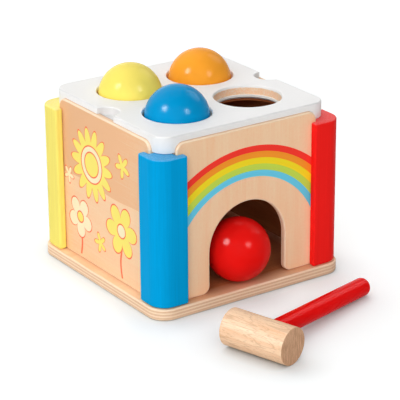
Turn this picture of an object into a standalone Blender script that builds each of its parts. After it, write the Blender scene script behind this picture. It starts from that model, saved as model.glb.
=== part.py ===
"""Pounding box: a wooden box with four ball holes in its lid, four balls and a mallet.

Metres, +Z up. The origin is the middle of the base plate's underside.
The arch opens towards -Y, and the lid's thumb notches face -X and +X.
"""
import math

import bmesh
import bpy
from mathutils import Matrix, Vector

# Running and seating clearances
GAP = 0.0003
BALL_CLEARANCE = 0.0007
RING_GRIP = 0.0003

# Balls and the holes that take them
BALL_DIAMETER = 0.045
HOLE_PITCH = 0.0585
HOLE_ROUND_WIDTH = 0.0012
HOLE_ROUND_DEPTH = 0.0022
COUNTERBORE_RADIUS = 0.0258
RING_HEIGHT = 0.0018
RING_DEPTH = 0.0078
RING_LIP = 0.0007

# Box of four panels
BOX_SIDE = 0.141
PANEL_THICKNESS = 0.005
PANEL_HEIGHT = 0.1129
PANEL_CORNER_RADIUS = 0.0066
PANEL_FOOT_RADIUS = 0.002
PANEL_EASE = 0.001

# Arch in the front panel
ARCH_WIDTH = 0.063
ARCH_HEIGHT = 0.0600
ARCH_FOOT_RADIUS = 0.0055

# Grooved corner posts
POST_SIDE = 0.024
POST_PROUD = 0.006
POST_HEIGHT = 0.1057
POST_CORNER_RADIUS = 0.012
POST_EDGE_RADIUS = 0.0016
POST_EASE = 0.0014
GROOVE_DEPTH = 0.0053

# Base plate
BASE_THICKNESS = 0.008
BASE_MARGIN = 0.0015
BASE_EASE = 0.0012

# Lid
LID_THICKNESS = 0.0118
LID_SETBACK = 0.002
LID_EASE = 0.001
NOTCH_RADIUS = 0.010
NOTCH_DEPTH = 0.0055

# Countersunk screws under the base
SCREW_HEAD_RADIUS = 0.004
SCREW_SHANK_RADIUS = 0.0019
SCREW_LENGTH = 0.028
SCREW_SINK = 0.0004
SCREW_SLOT_WIDTH = 0.0009
SCREW_SLOT_LENGTH = 0.0046
SCREW_SLOT_DEPTH = 0.0016

# Red ball and mallet as they lie
RED_BALL_PROUD = 0.0145
RED_BALL_LEFT = 0.0024
MALLET_LEFT = 0.0485
MALLET_AHEAD = 0.075
MALLET_TURN = math.radians(17.2)
HEAD_RADIUS = 0.01275
HEAD_LENGTH = 0.050
HEAD_EDGE_RADIUS = 0.0008
HANDLE_RADIUS = 0.0065
HANDLE_REACH = 0.119
HANDLE_TIP_RADIUS = 0.0045
SOCKET_WALL = 0.007

# Smoothness: how far an arc's chords may leave it, and the sides of round pieces
ARC_TOLERANCE = 0.00008
SAME_POINT = 0.000001
HOLE_SIDES = 40
MOUTH_STEPS = 3
BALL_SIDES = 28
HANDLE_SIDES = 20
SCREW_SIDES = 16

# Heights and half widths that follow from the sizes above
base_top = BASE_THICKNESS
panel_bottom = base_top + GAP
panel_top = panel_bottom + PANEL_HEIGHT
panel_outer = BOX_SIDE / 2
panel_inner = panel_outer - PANEL_THICKNESS
post_outer = panel_outer + POST_PROUD
post_inner = post_outer - POST_SIDE
post_middle = post_outer - POST_SIDE / 2
post_bottom = base_top + GAP
post_top = post_bottom + POST_HEIGHT
groove_floor = post_inner + GROOVE_DEPTH
panel_half_width = groove_floor - GAP
base_half = post_outer + BASE_MARGIN
base_corner_radius = POST_CORNER_RADIUS + BASE_MARGIN
lid_bottom = post_top + GAP
lid_top = lid_bottom + LID_THICKNESS
lid_half = panel_outer - LID_SETBACK
lid_corner_radius = lid_half - groove_floor
ball_radius = BALL_DIAMETER / 2
hole_radius = ball_radius + BALL_CLEARANCE
hole_offset = HOLE_PITCH / 2
lip_radius = ball_radius - RING_GRIP
ring_top = lid_top - RING_DEPTH
ring_bottom = ring_top - RING_HEIGHT
ring_outer = COUNTERBORE_RADIUS - GAP
lip_top = ring_top - RING_LIP
red_ball_y = ball_radius - panel_outer - RED_BALL_PROUD
held_height = lip_top + math.sqrt((ball_radius + GAP) ** 2 - lip_radius ** 2)

COLOURS = {
    "beech": (0.72, 0.48, 0.28, 1.0),
    "white": (0.86, 0.86, 0.84, 1.0),
    "yellow": (0.95, 0.75, 0.16, 1.0),
    "blue": (0.005, 0.35, 0.75, 1.0),
    "red": (0.78, 0.02, 0.02, 1.0),
    "orange": (1.0, 0.36, 0.03, 1.0),
    "rubber": (0.80, 0.79, 0.76, 1.0),
    "steel": (0.60, 0.60, 0.62, 1.0),
}

# Which hole, post and ball has which colour: the signs of its x and y
QUARTERS = {
    "blue": (-1, -1),
    "red": (1, -1),
    "orange": (1, 1),
    "yellow": (-1, 1),
}


def clear_scene():
    """Remove every object of the open file."""
    for item in list(bpy.data.objects):
        bpy.data.objects.remove(item, do_unlink=True)


def new_collection(name):
    """Return a new collection linked to the scene."""
    collection = bpy.data.collections.new(name)
    bpy.context.scene.collection.children.link(collection)
    return collection


def give_material(item, colour, roughness=0.45, metallic=0.0):
    """Give an object its own Principled material."""
    material = bpy.data.materials.new(item.name)
    material.use_nodes = True
    shader = material.node_tree.nodes["Principled BSDF"]
    shader.inputs["Base Color"].default_value = COLOURS[colour]
    shader.inputs["Roughness"].default_value = roughness
    shader.inputs["Metallic"].default_value = metallic
    item.data.materials.clear()
    item.data.materials.append(material)


def new_object(name, mesh, collection):
    """Link a new object that shows the mesh."""
    item = bpy.data.objects.new(name, mesh)
    collection.objects.link(item)
    return item


def mark_cutter(item):
    """Show a cutter as wires and keep it out of the result."""
    item.display_type = "WIRE"
    item.hide_render = True
    return item


def cut(target, cutter):
    """Cut the cutter's shape out of the target."""
    step = target.modifiers.new("Cut " + cutter.name, "BOOLEAN")
    step.operation = "DIFFERENCE"
    step.solver = "EXACT"
    step.object = cutter


def arc_steps(radius, sweep):
    """Return how many chords an arc needs to stay within the tolerance."""
    step = 2 * math.acos(1 - ARC_TOLERANCE / radius)
    return max(2, math.ceil(abs(sweep) / step))


def fillet(before, corner, after, radius):
    """Return the points of an arc that rounds one corner of a 2D outline."""
    start = (Vector(before) - Vector(corner)).normalized()
    end = (Vector(after) - Vector(corner)).normalized()
    half_angle = start.angle(end) / 2
    reach = radius / math.tan(half_angle)
    centre = Vector(corner) + (start + end).normalized() * radius / math.sin(half_angle)
    first = Vector(corner) + start * reach - centre
    last = Vector(corner) + end * reach - centre
    sweep = first.angle_signed(last)
    steps = arc_steps(radius, sweep)
    points = []
    for step in range(steps + 1):
        turned = Matrix.Rotation(-sweep * step / steps, 2) @ first
        points.append(centre + turned)
    return points


def rounded_outline(corners):
    """Return a closed 2D outline from (x, y, radius) corners; radius 0 stays sharp."""
    points = []
    count = len(corners)
    for index, (x, y, radius) in enumerate(corners):
        before = corners[index - 1][:2]
        after = corners[(index + 1) % count][:2]
        arc = fillet(before, (x, y), after, radius) if radius > 0 else [Vector((x, y))]
        if points and (arc[0] - points[-1]).length < SAME_POINT:
            arc = arc[1:]
        points.extend(arc)
    return points


def rectangle(half_x, low_y, high_y, low_radius, high_radius):
    """Return the corners of a rectangle with its own radius below and above."""
    return [
        (-half_x, low_y, low_radius),
        (half_x, low_y, low_radius),
        (half_x, high_y, high_radius),
        (-half_x, high_y, high_radius),
    ]


def flat_mesh(name, outline, thickness, ease):
    """Extrude a 2D outline into a plate on z = 0, with its rims rounded by ease."""
    curve = bpy.data.curves.new(name, "CURVE")
    curve.dimensions = "2D"
    curve.fill_mode = "BOTH"
    curve.extrude = thickness / 2 - ease
    curve.bevel_depth = ease
    curve.bevel_resolution = 1
    curve.offset = -ease
    spline = curve.splines.new("POLY")
    spline.points.add(len(outline) - 1)
    for point, place in zip(spline.points, outline):
        point.co = (place[0], place[1], 0.0, 1.0)
    spline.use_cyclic_u = True
    source = bpy.data.objects.new(name + "_curve", curve)
    bpy.context.scene.collection.objects.link(source)
    graph = bpy.context.evaluated_depsgraph_get()
    mesh = bpy.data.meshes.new_from_object(source.evaluated_get(graph))
    mesh.name = name
    bpy.data.objects.remove(source, do_unlink=True)
    bpy.data.curves.remove(curve)
    mesh.transform(Matrix.Translation((0, 0, thickness / 2)))
    shape = bmesh.new()
    shape.from_mesh(mesh)
    bmesh.ops.remove_doubles(shape, verts=shape.verts, dist=SAME_POINT)
    bmesh.ops.recalc_face_normals(shape, faces=shape.faces)
    shape.to_mesh(mesh)
    shape.free()
    mesh.shade_smooth()
    mesh.set_sharp_from_angle(angle=math.radians(40))
    return mesh


def turned_object(name, profile, sides, collection):
    """Turn a (radius, height) profile about Z; it runs down its outer side."""
    mesh = bpy.data.meshes.new(name)
    points = [(radius, 0.0, height) for radius, height in profile]
    edges = [(index, index + 1) for index in range(len(points) - 1)]
    if profile[0][0] > 0:
        edges.append((len(points) - 1, 0))
    mesh.from_pydata(points, edges, [])
    item = new_object(name, mesh, collection)
    screw = item.modifiers.new("Turn", "SCREW")
    screw.axis = "Z"
    screw.angle = math.tau
    screw.steps = sides
    screw.render_steps = sides
    screw.use_merge_vertices = True
    screw.merge_threshold = 0.00001
    screw.use_smooth_shade = True
    return item


def profile_arc(centre_r, centre_h, radius, start, end):
    """Return profile points on an arc, with angles measured from outwards to up."""
    points = []
    steps = arc_steps(radius, end - start)
    for step in range(steps + 1):
        angle = start + (end - start) * step / steps
        points.append((centre_r + radius * math.cos(angle), centre_h + radius * math.sin(angle)))
    return points


def box_cutter(name, low, high, collection):
    """Return a box cutter between two corners."""
    bpy.ops.mesh.primitive_cube_add(size=1.0)
    item = bpy.context.object
    item.name = name
    for owner in list(item.users_collection):
        owner.objects.unlink(item)
    collection.objects.link(item)
    middle = (Vector(low) + Vector(high)) / 2
    size = Vector(high) - Vector(low)
    item.data.transform(Matrix.Diagonal((*size, 1.0)))
    item.location = middle
    return mark_cutter(item)


def build_base(parts):
    """Build the plywood base plate that everything stands on."""
    corners = rectangle(base_half, -base_half, base_half, base_corner_radius, base_corner_radius)
    mesh = flat_mesh("base_plate", rounded_outline(corners), BASE_THICKNESS, BASE_EASE)
    item = new_object("base_plate", mesh, parts)
    give_material(item, "beech", 0.5)
    return item


def panel_corners(half_width, height, top_radius):
    """Return the outline of a plain panel that stands on y = 0."""
    return rectangle(half_width, 0.0, height, PANEL_FOOT_RADIUS, top_radius)


def front_corners():
    """Return the front panel's outline, with the arch cut up from its foot."""
    arch_half = ARCH_WIDTH / 2
    corners = [
        (-panel_half_width, 0.0, PANEL_FOOT_RADIUS),
        (-arch_half, 0.0, ARCH_FOOT_RADIUS),
        (-arch_half, ARCH_HEIGHT, arch_half),
        (arch_half, ARCH_HEIGHT, arch_half),
        (arch_half, 0.0, ARCH_FOOT_RADIUS),
        (panel_half_width, 0.0, PANEL_FOOT_RADIUS),
        (panel_half_width, PANEL_HEIGHT, PANEL_CORNER_RADIUS),
        (-panel_half_width, PANEL_HEIGHT, PANEL_CORNER_RADIUS),
    ]
    return corners


def build_panels(parts):
    """Stand the four plywood panels on the base plate, outer faces outwards."""
    plain = panel_corners(panel_half_width, PANEL_HEIGHT, PANEL_CORNER_RADIUS)
    sides = {
        "panel_front": (front_corners(), 0.0),
        "panel_right": (plain, math.pi / 2),
        "panel_back": (plain, math.pi),
        "panel_left": (plain, -math.pi / 2),
    }
    for name, (corners, turn) in sides.items():
        mesh = flat_mesh(name, rounded_outline(corners), PANEL_THICKNESS, PANEL_EASE)
        mesh.transform(Matrix.Rotation(math.pi / 2, 4, "X"))
        item = new_object(name, mesh, parts)
        item.rotation_euler = (0.0, 0.0, turn)
        outwards = Matrix.Rotation(turn, 3, "Z") @ Vector((0.0, -panel_inner, 0.0))
        item.location = (outwards.x, outwards.y, panel_bottom)
        give_material(item, "beech", 0.5)


def post_corners():
    """Return a post's section at +X +Y, measured from the middle of the box."""
    groove_low = panel_inner - GAP
    groove_high = panel_outer + GAP
    edge = POST_EDGE_RADIUS
    return [
        (post_inner, post_inner, edge),
        (groove_low, post_inner, edge),
        (groove_low, groove_floor, 0.0),
        (groove_high, groove_floor, 0.0),
        (groove_high, post_inner, edge),
        (post_outer, post_inner, edge),
        (post_outer, post_outer, POST_CORNER_RADIUS),
        (post_inner, post_outer, edge),
        (post_inner, groove_high, edge),
        (groove_floor, groove_high, 0.0),
        (groove_floor, groove_low, 0.0),
        (post_inner, groove_low, edge),
    ]


def build_posts(parts):
    """Stand a grooved post at each corner, round corner outwards."""
    outline = rounded_outline(post_corners())
    turns = {"orange": 0, "yellow": 1, "blue": 2, "red": 3}
    for colour, quarter_turns in turns.items():
        name = "post_" + colour
        mesh = flat_mesh(name, outline, POST_HEIGHT, POST_EASE)
        mesh.transform(Matrix.Translation((-post_middle, -post_middle, 0.0)))
        item = new_object(name, mesh, parts)
        item.rotation_euler = (0.0, 0.0, quarter_turns * math.pi / 2)
        sign_x, sign_y = QUARTERS[colour]
        item.location = (sign_x * post_middle, sign_y * post_middle, post_bottom)
        give_material(item, colour, 0.35)


def hole_cutter(name, cutters):
    """Return the cutter of one ball hole: rounded mouth, wall and ring seat."""
    over = lid_top + LID_THICKNESS
    under = lid_bottom - LID_THICKNESS
    seat = ring_top + GAP
    rounding = []
    for step in range(MOUTH_STEPS + 1):
        angle = math.pi / 2 * step / MOUTH_STEPS
        radius = hole_radius + HOLE_ROUND_WIDTH * (1 - math.sin(angle))
        height = lid_top - HOLE_ROUND_DEPTH * (1 - math.cos(angle))
        rounding.append((radius, height))
    mouth = rounding[0][0]
    profile = [(0.0, over), (mouth, over)]
    profile += rounding
    profile += [(hole_radius, seat), (COUNTERBORE_RADIUS, seat), (COUNTERBORE_RADIUS, under), (0.0, under)]
    return mark_cutter(turned_object(name, profile, HOLE_SIDES, cutters))


def build_lid(parts, cutters):
    """Build the lid: a thick board, rebated over the panels, with holes and notches."""
    corners = rectangle(lid_half, -lid_half, lid_half, lid_corner_radius, lid_corner_radius)
    mesh = flat_mesh("lid_board", rounded_outline(corners), LID_THICKNESS, LID_EASE)
    lid = new_object("lid_board", mesh, parts)
    lid.location = (0.0, 0.0, lid_bottom)
    give_material(lid, "white", 0.4)
    rebate_corners = panel_corners(panel_half_width + GAP, PANEL_HEIGHT + 2 * GAP, PANEL_CORNER_RADIUS + GAP)
    for index in range(4):
        turn = index * math.pi / 2
        rebate = flat_mesh("rebate", rounded_outline(rebate_corners), PANEL_THICKNESS + 2 * GAP, 0.0)
        rebate.transform(Matrix.Rotation(math.pi / 2, 4, "X"))
        cutter = mark_cutter(new_object("rebate_cutter_%d" % index, rebate, cutters))
        cutter.rotation_euler = (0.0, 0.0, turn)
        outwards = Matrix.Rotation(turn, 3, "Z") @ Vector((0.0, GAP - panel_inner, 0.0))
        cutter.location = (outwards.x, outwards.y, panel_bottom - GAP)
        cut(lid, cutter)
    for side, sign in (("left", -1), ("right", 1)):
        depth = NOTCH_DEPTH
        profile = [(0.0, lid_top + depth), (NOTCH_RADIUS, lid_top + depth),
                   (NOTCH_RADIUS, lid_top - depth), (0.0, lid_top - depth)]
        cutter = mark_cutter(turned_object("notch_cutter_" + side, profile, HOLE_SIDES, cutters))
        cutter.location = (sign * lid_half, 0.0, 0.0)
        cut(lid, cutter)
    for colour, (sign_x, sign_y) in QUARTERS.items():
        cutter = hole_cutter("hole_cutter_" + colour, cutters)
        cutter.location = (sign_x * hole_offset, sign_y * hole_offset, 0.0)
        cut(lid, cutter)
    return lid


def build_rings(parts, lid):
    """Put an elastic ring, whose lip is a little narrower than a ball, in each hole."""
    body = (lip_radius + ring_outer) / 2
    profile = [
        (ring_outer, ring_top),
        (ring_outer, ring_bottom),
        (body, ring_bottom),
        (lip_radius, lip_top - RING_LIP),
        (lip_radius, lip_top),
        (lip_radius + RING_LIP, ring_top),
    ]
    for colour, (sign_x, sign_y) in QUARTERS.items():
        local = [(radius, height - lid_bottom) for radius, height in profile]
        ring = turned_object("ring_" + colour, local, HOLE_SIDES, parts)
        ring.parent = lid
        ring.location = (sign_x * hole_offset, sign_y * hole_offset, 0.0)
        give_material(ring, "rubber", 0.6)


def build_balls(parts):
    """Set three balls in their holes and the red one on the base, in the arch."""
    held = {"blue", "yellow", "orange"}
    for colour, (sign_x, sign_y) in QUARTERS.items():
        bpy.ops.mesh.primitive_uv_sphere_add(
            segments=BALL_SIDES, ring_count=BALL_SIDES // 2, radius=ball_radius)
        ball = bpy.context.object
        ball.name = "ball_" + colour
        ball.data.name = ball.name
        for owner in list(ball.users_collection):
            owner.objects.unlink(ball)
        parts.objects.link(ball)
        ball.data.shade_smooth()
        if colour in held:
            ball.location = (sign_x * hole_offset, sign_y * hole_offset, held_height)
        else:
            ball.location = (-RED_BALL_LEFT, red_ball_y, base_top + ball_radius + GAP)
        give_material(ball, colour, 0.15)


def build_screws(parts, cutters, base):
    """Drive one countersunk screw up through the base into each post."""
    cone = SCREW_HEAD_RADIUS - SCREW_SHANK_RADIUS
    tip = SCREW_LENGTH - 2 * SCREW_SHANK_RADIUS
    profile = [
        (0.0, SCREW_LENGTH),
        (SCREW_SHANK_RADIUS, tip),
        (SCREW_SHANK_RADIUS, cone + SCREW_SINK),
        (SCREW_HEAD_RADIUS, SCREW_SINK),
        (0.0, SCREW_SINK),
    ]
    wide = [
        (0.0, SCREW_LENGTH + GAP),
        (SCREW_SHANK_RADIUS + GAP, tip + GAP),
        (SCREW_SHANK_RADIUS + GAP, cone + SCREW_SINK),
        (SCREW_HEAD_RADIUS + GAP, SCREW_SINK),
        (SCREW_HEAD_RADIUS + GAP, -BASE_THICKNESS),
        (0.0, -BASE_THICKNESS),
    ]
    slot_half = SCREW_SLOT_WIDTH / 2
    slot_reach = SCREW_SLOT_LENGTH / 2
    slot_floor = SCREW_SINK + SCREW_SLOT_DEPTH
    names = {"blue": "front_left", "red": "front_right", "orange": "back_right", "yellow": "back_left"}
    for colour, (sign_x, sign_y) in QUARTERS.items():
        x = sign_x * post_middle
        y = sign_y * post_middle
        screw = turned_object("screw_" + names[colour], profile, SCREW_SIDES, parts)
        screw.location = (x, y, 0.0)
        give_material(screw, "steel", 0.3, 1.0)
        for half_x, half_y in ((slot_half, slot_reach), (slot_reach, slot_half)):
            low = (x - half_x, y - half_y, -slot_floor)
            high = (x + half_x, y + half_y, slot_floor)
            cut(screw, box_cutter("slot_cutter_" + names[colour], low, high, cutters))
        bore = mark_cutter(turned_object("screw_bore_" + names[colour], wide, SCREW_SIDES, cutters))
        bore.location = (x, y, 0.0)
        cut(base, bore)
        cut(bpy.data.objects["post_" + colour], bore)


def build_mallet(parts, cutters):
    """Lay the mallet on the floor, handle end down, in front of the box."""
    contact = HANDLE_REACH - HANDLE_TIP_RADIUS
    tilt = math.asin((HEAD_RADIUS - HANDLE_RADIUS) / contact)
    origin = bpy.data.objects.new("mallet_origin", None)
    parts.objects.link(origin)
    origin.location = (-MALLET_LEFT, -base_half - MALLET_AHEAD, HEAD_RADIUS)
    origin.rotation_euler = (0.0, tilt, MALLET_TURN)
    half = HEAD_LENGTH / 2
    edge = HEAD_EDGE_RADIUS
    profile = [(0.0, half)]
    profile += profile_arc(HEAD_RADIUS - edge, half - edge, edge, math.pi / 2, 0.0)
    profile += profile_arc(HEAD_RADIUS - edge, edge - half, edge, 0.0, -math.pi / 2)
    profile += [(0.0, -half)]
    head = turned_object("mallet_head", profile, HOLE_SIDES, parts)
    head.rotation_euler = (math.pi / 2, 0.0, 0.0)
    head.parent = origin
    give_material(head, "beech", 0.5)

    tip = HANDLE_TIP_RADIUS
    inner_end = SOCKET_WALL - HEAD_RADIUS
    handle_profile = [(0.0, HANDLE_REACH)]
    handle_profile += profile_arc(HANDLE_RADIUS - tip, HANDLE_REACH - tip, tip, math.pi / 2, 0.0)
    handle_profile += [(HANDLE_RADIUS, inner_end + GAP), (0.0, inner_end + GAP)]
    handle = turned_object("mallet_handle", handle_profile, HANDLE_SIDES, parts)
    handle.rotation_euler = (0.0, math.pi / 2, 0.0)
    handle.parent = origin
    give_material(handle, "red", 0.15)

    bore = HANDLE_RADIUS + GAP
    socket_profile = [(0.0, 2 * HEAD_RADIUS), (bore, 2 * HEAD_RADIUS), (bore, inner_end), (0.0, inner_end)]
    socket = mark_cutter(turned_object("mallet_socket_cutter", socket_profile, HANDLE_SIDES, cutters))
    socket.rotation_euler = (0.0, math.pi / 2, 0.0)
    socket.parent = origin
    cut(head, socket)


def main():
    """Build the whole object."""
    clear_scene()
    parts = new_collection("pounding_box")
    cutters = new_collection("cutters")
    base = build_base(parts)
    build_panels(parts)
    build_posts(parts)
    lid = build_lid(parts, cutters)
    build_rings(parts, lid)
    build_balls(parts)
    build_screws(parts, cutters, base)
    build_mallet(parts, cutters)


main()
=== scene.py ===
"""Pounding bench: the finished look of a wooden pounding box, its four balls and its mallet.

Metres, +Z up. The box stands on the floor at the origin, its arch towards -Y. Every piece is a surface
worked out with numpy: an outline with a profile carried round it, a turned profile, or a patch between
two curves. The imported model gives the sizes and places.
"""
import math

import bmesh
import bpy
import numpy as np
from mathutils import Matrix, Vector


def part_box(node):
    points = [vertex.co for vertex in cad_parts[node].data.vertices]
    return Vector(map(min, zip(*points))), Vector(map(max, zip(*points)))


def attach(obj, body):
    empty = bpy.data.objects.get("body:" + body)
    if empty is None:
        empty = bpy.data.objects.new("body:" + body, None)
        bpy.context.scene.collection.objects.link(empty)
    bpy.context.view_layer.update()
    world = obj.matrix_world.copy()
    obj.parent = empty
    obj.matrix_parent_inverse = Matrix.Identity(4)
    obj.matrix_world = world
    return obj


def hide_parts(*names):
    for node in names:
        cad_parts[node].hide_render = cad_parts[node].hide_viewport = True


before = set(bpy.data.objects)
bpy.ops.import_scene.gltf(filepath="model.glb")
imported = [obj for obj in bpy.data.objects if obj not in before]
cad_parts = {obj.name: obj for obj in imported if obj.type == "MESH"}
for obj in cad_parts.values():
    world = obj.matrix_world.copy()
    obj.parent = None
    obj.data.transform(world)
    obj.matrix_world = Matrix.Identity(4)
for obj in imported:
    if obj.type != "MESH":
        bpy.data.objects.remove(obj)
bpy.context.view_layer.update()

bl_info = {
    "name": "Pounding Bench",
    "version": (1, 0, 0),
    "blender": (4, 5, 0),
    "location": "3D View > Sidebar > Bench",
    "description": "Builds the finished pieces of a wooden pounding bench around its packed model",
    "category": "Add Mesh",
}

HAIR = 0.00002      # support points stand this far from where a flat runs into a curve
MERGE = 0.0000015   # points closer than this are one
FIT = 0.0003        # room between two glued pieces
CREASE = 35.0       # edges that turn more than this many degrees look sharp
EASE_STEPS = 4      # steps of each rounding of an eased edge
EASED = EASE_STEPS + 2      # points of such an edge's profile below its wall
SEAM = 20           # points along each inner border of a quarter


def screen(red, green, blue):
    """Linear colour of a screen colour 0..255, by the usual two-part curve."""
    share = np.array([red, green, blue]) / 255
    linear = np.where(share <= 0.04045, share / 12.92, ((share + 0.055) / 1.055) ** 2.4)
    return tuple(float(value) for value in linear)


def size_of(node):
    """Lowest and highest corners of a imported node, as arrays."""
    low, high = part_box(node)
    return np.array(low), np.array(high)


# Outlines and surfaces


def rounded_outline(corners, steps=8):
    """Points and outward normals of a closed outline whose corners (x, y, radius) are rounded.

    Each corner becomes an arc that touches both of its sides: the arc's centre lies on the corner's
    bisector, radius / sin(half angle) away, and the normal turns evenly from one side's to the
    other's. A hair before and after each arc stands a support point on the straight side.
    """
    corners = np.asarray(corners, float)
    place, radius = corners[:, :2], corners[:, 2]
    back = np.roll(place, 1, 0) - place
    ahead = np.roll(place, -1, 0) - place
    length = np.linalg.norm(ahead, axis=1)
    back /= np.linalg.norm(back, axis=1)[:, None]
    ahead /= length[:, None]
    half = np.arccos(np.clip((back * ahead).sum(1), -1, 1)) / 2
    side = np.sign(ahead[:, 0] * back[:, 1] - ahead[:, 1] * back[:, 0])
    middle = back + ahead
    middle /= np.linalg.norm(middle, axis=1)[:, None]
    centre = place + middle * (radius / np.sin(half))[:, None]
    start = np.arctan2(back[:, 0], -back[:, 1])
    share = np.linspace(0, 1, steps + 1)
    angle = start[:, None] + (side * (math.pi - 2 * half))[:, None] * share
    normal = np.stack([np.cos(angle), np.sin(angle)], 2)
    points = centre[:, None] + (side * radius)[:, None, None] * normal
    reach = radius / np.tan(half)
    straight = length - reach - np.roll(reach, -1)
    after = np.minimum(HAIR, straight / 2)
    before = np.roll(after, 1)
    first = points[:, :1] + (back * before[:, None])[:, None]
    last = points[:, -1:] + (ahead * after[:, None])[:, None]
    points = np.concatenate([first, points, last], 1).reshape(-1, 2)
    normal = np.concatenate([normal[:, :1], normal, normal[:, -1:]], 1).reshape(-1, 2)
    return points, normal


def grid_faces(rows, columns, closed=False):
    """Four-sided faces of a grid of rows x columns points, closed round the columns if asked."""
    across = columns if closed else columns - 1
    row, column = np.meshgrid(np.arange(rows - 1), np.arange(across), indexing="ij")
    following = (column + 1) % columns
    corners = [row * columns + column, row * columns + following,
               (row + 1) * columns + following, (row + 1) * columns + column]
    return np.stack(corners, 2).reshape(-1, 4)


def unit_arc(steps, start, end):
    """Unit vectors (cos a, sin a) for a running evenly from start to end, in degrees."""
    angle = np.radians(np.linspace(start, end, steps + 1))
    return np.stack([np.cos(angle), np.sin(angle)], 1)


def eased_edge(thickness, ease):
    """Profile (inset, height) of a plate's rim, from below: flat, round, wall, round, flat.

    A hair's width of flat stands beside each round part, so that the flats shade flat.
    """
    low = unit_arc(EASE_STEPS, -90, 0) * ease
    high = unit_arc(EASE_STEPS, 0, 90) * ease
    bottom = np.stack([ease - low[:, 0], ease + low[:, 1]], 1)
    top = np.stack([ease - high[:, 0], thickness - ease + high[:, 1]], 1)
    return np.concatenate([
        [[ease + HAIR, 0]], bottom, [[0, ease + HAIR]],
        [[0, thickness - ease - HAIR]], top, [[ease + HAIR, thickness]],
    ])


def levelled(plan, level):
    """Points of a plan (..., 2) with their heights, which are given for each row."""
    level = np.broadcast_to(np.asarray(level)[:, None, None], plan.shape[:2] + (1,))
    return np.concatenate([plan, level], 2)


def carried(points, normals, profile):
    """An outline with a profile (inset, height) carried round it, one row of points for each step.

    Each point moves in along its normal by the inset, and stands at the profile's height.
    """
    inset, height = np.asarray(profile).T
    return levelled(points[None] - normals[None] * inset[:, None, None], height)


def turned(profile, sides):
    """A (radius, height) profile turned about Z: each of its points goes round at its radius."""
    radius, height = np.asarray(profile).T
    return levelled(radius[:, None, None] * unit_arc(sides, 0, 360)[None, :-1], height)


def grid_patch(points, slots=0, closed=False):
    """A patch (points, faces, slots) from rows of points; slots has one number for each row of faces."""
    rows, columns = points.shape[:2]
    faces = grid_faces(rows, columns, closed)
    across = len(faces) // (rows - 1)
    given = np.asarray(slots).reshape(-1, 1)
    return points, faces, np.broadcast_to(given, (rows - 1, across)).ravel()


def plate(outline, thickness, ease, rim_slot=0, face_slots=(0, 0)):
    """Patches of a plate: its rim carried round the outline, and its lower and upper faces.

    The lower rounding has the lower face's finish.
    """
    rim = carried(*outline, eased_edge(thickness, ease))
    slots = np.full(len(rim) - 1, rim_slot)
    slots[:EASED], slots[-1] = face_slots
    whole = np.arange(rim.shape[1])
    return [
        grid_patch(rim, slots, closed=True),
        (rim[0], [whole[::-1]], [face_slots[0]]),
        (rim[-1], [whole], [face_slots[1]]),
    ]


def moved(patches, origin, across, up, out):
    """Patches set in space: a point (u, v, w) goes to origin + u across + v up + w out."""
    axes = np.array([across, up, out], float)
    return [(origin + points @ axes, faces, slots) for points, faces, slots in patches]


def four_quarters(patches):
    """The patches of the quarter at +X +Y and its mirror images, each with its faces outwards."""
    whole = []
    for sign_x, sign_y in ((1, 1), (-1, 1), (-1, -1), (1, -1)):
        for points, faces, slots in patches:
            turned_over = faces if sign_x * sign_y > 0 else np.asarray(faces)[:, ::-1]
            whole.append((points * (sign_x, sign_y, 1), turned_over, slots))
    return whole


def add_piece(name, patches, materials, body, nodes):
    """Join patches into one closed mesh, give it its materials, and set it on its body."""
    corners, polygons, slots, count = [], [], [], 0
    for points, faces, face_slots in patches:
        points = np.asarray(points, float).reshape(-1, 3)
        corners.append(points)
        polygons.extend((np.asarray(faces) + count).tolist())
        slots.extend(np.asarray(face_slots, int).tolist())
        count += len(points)
    mesh = bpy.data.meshes.new(name)
    mesh.from_pydata(np.concatenate(corners).tolist(), [], polygons)
    mesh.polygons.foreach_set("material_index", slots)
    shape = bmesh.new()
    shape.from_mesh(mesh)
    bmesh.ops.remove_doubles(shape, verts=shape.verts, dist=MERGE)
    bmesh.ops.dissolve_degenerate(shape, edges=shape.edges, dist=MERGE)
    bmesh.ops.recalc_face_normals(shape, faces=shape.faces)
    loose = [edge for edge in shape.edges if len(edge.link_faces) != 2]
    if loose:
        raise ValueError("%s isn't closed: %d open edges" % (name, len(loose)))
    shape.to_mesh(mesh)
    shape.free()
    mesh.shade_smooth()
    mesh.set_sharp_from_angle(angle=math.radians(CREASE))
    for material in materials:
        mesh.materials.append(material)
    piece = bpy.data.objects.new(name, mesh)
    bpy.context.scene.collection.objects.link(piece)
    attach(piece, body)
    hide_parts(*nodes)


# Material steps


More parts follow.
